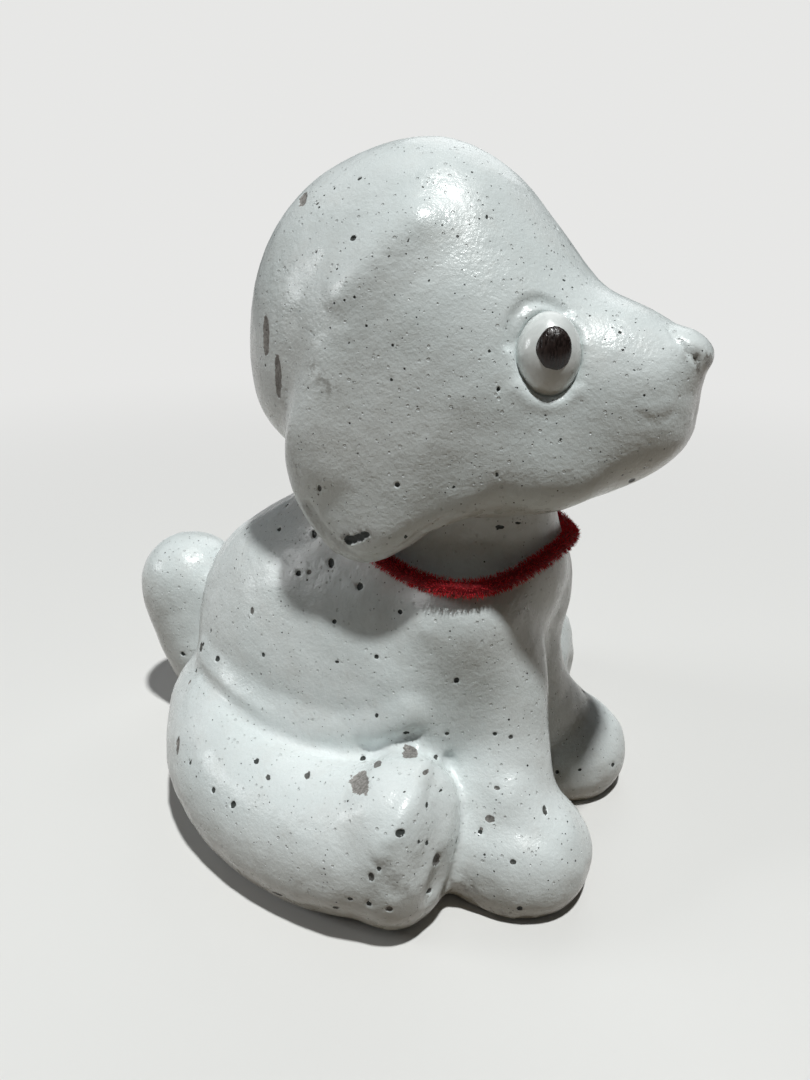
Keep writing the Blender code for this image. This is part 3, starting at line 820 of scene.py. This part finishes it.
BODY_MARKS = (
    (410, 752, 15, 11, 0.8), (377, 764, 10, 6, 0.6), (359, 782, 23, 19, 1.0), (307, 775, 6, 6, 0.3),
    (400, 833, 10, 8, 0.0), (437, 860, 8, 15, 0.5), (371, 877, 6, 9, 0.3), (379, 869, 5, 5, 0.1),
    (490, 819, 10, 7, 0.7), (497, 788, 6, 4, 0.4), (545, 810, 5, 8, 0.2), (513, 862, 6, 5, 0.2),
    (484, 854, 4, 4, 0.0), (492, 887, 4, 3, 0.0), (557, 772, 4, 5, 0.0), (580, 770, 4, 3, 0.0),
    (613, 765, 4, 4, 0.0), (406, 733, 7, 4, 0.0), (447, 734, 6, 4, 0.1), (495, 734, 6, 4, 0.0),
    (511, 737, 5, 4, 0.2), (336, 908, 7, 4, 0.2), (350, 899, 6, 4, 0.2), (314, 534, 6, 9, 0.0),
    (331, 563, 7, 10, 0.0), (298, 573, 6, 6, 0.0), (279, 529, 5, 5, 0.0), (359, 586, 8, 9, 0.0),
    (337, 662, 5, 3, 0.0), (201, 647, 4, 9, 0.2), (252, 611, 4, 8, 0.4), (263, 655, 4, 5, 0.0),
    (213, 790, 5, 6, 0.0), (256, 761, 6, 5, 0.0), (268, 777, 5, 5, 0.2), (178, 745, 4, 18, 0.7),
    (277, 894, 12, 3, 0.2), (436, 757, 5, 4, 0.1), (426, 772, 8, 4, 0.6), (427, 805, 3, 6, 0.0),
    (427, 824, 4, 4, 0.0), (441, 791, 4, 4, 0.0), (419, 842, 3, 5, 0.0), (427, 843, 4, 5, 0.0),
    (426, 862, 3, 4, 0.0), (429, 891, 7, 5, 0.2), (391, 806, 3, 3, 0.0), (404, 792, 3, 3, 0.0),
    (500, 527, 9, 4, 0.0), (518, 523, 7, 3, 0.0),
)
HEAD_MARKS = (
    (303, 199, 9, 20, 1.0), (266, 335, 8, 40, 1.0), (278, 377, 8, 42, 0.9), (353, 238, 6, 6, 0.0),
    (351, 540, 16, 10, 0.0), (358, 538, 14, 9, 0.0), (365, 535, 11, 7, 0.0),
    (319, 489, 5, 8, 0.2), (397, 485, 6, 6, 0.0), (391, 380, 4, 4, 0.0),
    (441, 400, 4, 4, 0.0), (489, 351, 4, 4, 0.0), (545, 415, 4, 4, 0.0), (561, 439, 4, 4, 0.0),
    (497, 475, 5, 5, 0.0), (632, 481, 9, 4, 0.2), (487, 217, 3, 5, 0.0), (470, 205, 3, 3, 0.0),
    (552, 269, 4, 4, 0.0), (564, 280, 4, 4, 0.0), (572, 287, 4, 4, 0.0), (620, 332, 4, 4, 0.0),
    (635, 370, 4, 4, 0.0), (357, 453, 4, 4, 0.1), (349, 342, 4, 4, 0.2), (408, 240, 4, 4, 0.2),
    (388, 256, 4, 4, 0.2), (317, 203, 4, 4, 0.3), (406, 537, 4, 4, 0.0), (454, 487, 4, 4, 0.0),
)


# Grooves and ridges worked into the castings: (half width, height, pixels of the line) in metres and pixels

HEAD_STROKES = (
    (0.0026, -0.0011, (510, 344), (511, 330), (516, 314), (527, 302), (540, 300), (553, 304), (565, 311)),
    (0.0030, 0.0005, (517, 388), (528, 401), (546, 406), (564, 402), (578, 392)),
    (0.0014, -0.0012, (520, 352), (519, 364), (523, 376), (531, 387)),
    (0.0140, 0.0018, (412, 226), (394, 240), (376, 257), (358, 277), (343, 294), (332, 318),
     (326, 342), (322, 372), (317, 402), (314, 434), (318, 464)),
    (0.0080, 0.0008, (414, 224), (396, 238), (378, 255), (360, 275), (346, 291)),
    (0.0120, -0.0009, (472, 440), (462, 470), (452, 500), (440, 530)),
    (0.0014, -0.0009, (670, 328), (676, 339), (688, 351), (697, 360)),
    (0.0080, 0.0005, (696, 378), (696, 392), (690, 406)),
    (0.0012, -0.00012, (638, 412), (647, 420), (658, 423), (668, 420), (677, 411)),
    (0.0030, 0.0003, (642, 406), (655, 411), (668, 405)),
    (0.0012, 0.0006, (303, 506), (318, 530), (336, 551), (356, 563), (378, 565), (398, 557), (422, 541), (448, 526)),
    (0.0014, -0.0005, (309, 503), (322, 524), (340, 543), (360, 555), (380, 556), (400, 547), (424, 532), (450, 518)),
)
BODY_STROKES = (
    (0.0085, 0.0022, (205, 655), (228, 685), (262, 708), (300, 724), (345, 735), (385, 728), (410, 715)),
    (0.0040, -0.0010, (204, 675), (232, 707), (262, 729), (300, 745), (345, 756), (385, 748), (412, 735)),
    (0.0030, -0.0014, (448, 758), (460, 785), (465, 813), (458, 858), (447, 888)),
    (0.0045, 0.0010, (424, 762), (419, 785), (400, 822), (382, 852)),
    (0.0090, -0.0012, (440, 790), (438, 828), (422, 862)),
    (0.0035, -0.0005, (386, 852), (384, 872), (392, 892)),
    (0.0100, 0.0012, (516, 800), (540, 812), (562, 822)),
    (0.0020, 0.0005, (458, 880), (484, 908), (514, 917)),
)

# Places of the castings that are rubbed smooth: (radius, times, pixel)

BODY_SMOOTHED = ((0.022, 160, (468, 684)), (0.012, 60, (540, 812)))
HEAD_SMOOTHED = (
    (0.030, 150, (440, 260)), (0.030, 150, (430, 330)), (0.028, 120, (420, 440)),
    (0.024, 100, (350, 400)), (0.020, 80, (560, 450)), (0.014, 90, (655, 425)), (0.012, 90, (690, 396)),
)

# Where dirt and scrapes show, and where shade is painted in the same dark brown: (half width, strength, pixels of the
# line) in metres and pixels

HEAD_STAINS_AND_SHADE = (
    (0.0024, 0.95, (714, 350), (707, 359), (699, 366)), (0.0022, 0.75, (690, 355), (701, 360)),
    (0.0011, 0.30, (705, 366), (703, 385), (696, 404), (684, 422)),
    (0.0026, 0.50, (310, 366), (322, 378), (334, 392)), (0.0018, 0.30, (283, 400), (290, 440), (297, 480)),
    # The first line is a stain at the bottom of the ear; the second, along the ear's lower rim, is painted shade, the
    # brown shade under the lobe
    (0.0026, 0.80, (346, 539), (366, 534)), (0.0020, 0.30, (305, 505), (330, 545), (360, 560), (395, 555)),
)
BODY_STAINS_AND_SHADE = (
    # The first line darkens the hollow of the hind foot; the second is a painted contact shadow along the bottom of
    # the near front paw
    (0.0034, 0.32, (382, 866), (400, 884), (420, 890)), (0.0034, 0.50, (470, 890), (500, 915), (530, 918)),
    # A painted contact shadow along the bottom of the near hind leg
    (0.0060, 0.35, (240, 880), (290, 905), (340, 918)),
)

# Three layers of pinholes: open, fine and painted over, each with its spacing, size and share
BODY_HOLES = ((0.0038, 0.00045, 0.50), (0.0017, 0.00027, 0.50), (0.0022, 0.00058, 0.6))
HEAD_HOLES = ((0.0036, 0.00048, 0.48), (0.0017, 0.00028, 0.62), (0.0022, 0.00060, 0.6))

make_studio()
camera = make_camera()

body = recast("body_casting", "body", 0.00125, 26)
rub_dents(camera, body, BODY_SMOOTHED)
work_strokes(camera, body, BODY_STROKES)
add_lumps(body, ((0.024, 0.0005), (0.010, 0.00022), (0.005, 0.00008)))
press_pits(body, pits_at(camera, body, BODY_MARKS) + scattered_pits(body, 230, 0.0004, 0.0013))
keep_stains_and_shade(camera, body, BODY_STAINS_AND_SHADE)
head = recast("head_casting", "head", 0.0010, 26)
rub_dents(camera, head, HEAD_SMOOTHED)
work_strokes(camera, head, HEAD_STROKES)
add_lumps(head, ((0.030, 0.0002), (0.009, 0.00012), (0.004, 0.00005)))
press_pits(head, pits_at(camera, head, HEAD_MARKS) + scattered_pits(head, 110, 0.0003, 0.0009))
keep_stains_and_shade(camera, head, HEAD_STAINS_AND_SHADE)

holes, wear = pinhole_group(), wear_group()
body.data.materials.append(paint_material("body paint", holes, wear, BODY_HOLES, 0.02))
head.data.materials.append(paint_material("head paint", holes, wear, HEAD_HOLES, 0.0))
body.data.shade_smooth()
head.data.shade_smooth()
white, dark = eyeball_material(holes), pupil_material()
eyes = make_eyes()
for piece, _, slot in eyes:
    piece.data.materials.append(white if slot == "eyeball_paint" else dark)
collar = make_collar(16000, 0.0011, 0.00009)
collar.data.materials.append(velvet_material())
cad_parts["neck_pin"].material_slots[0].material = steel_material()

pieces = [
    (body, "body_casting", "body_paint"),
    (head, "head_casting", "head_paint"),
    (collar, "collar", "collar_velvet"),
    *eyes,
]
for piece, node, slot in pieces:
    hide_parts(node)
    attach(piece, "root")
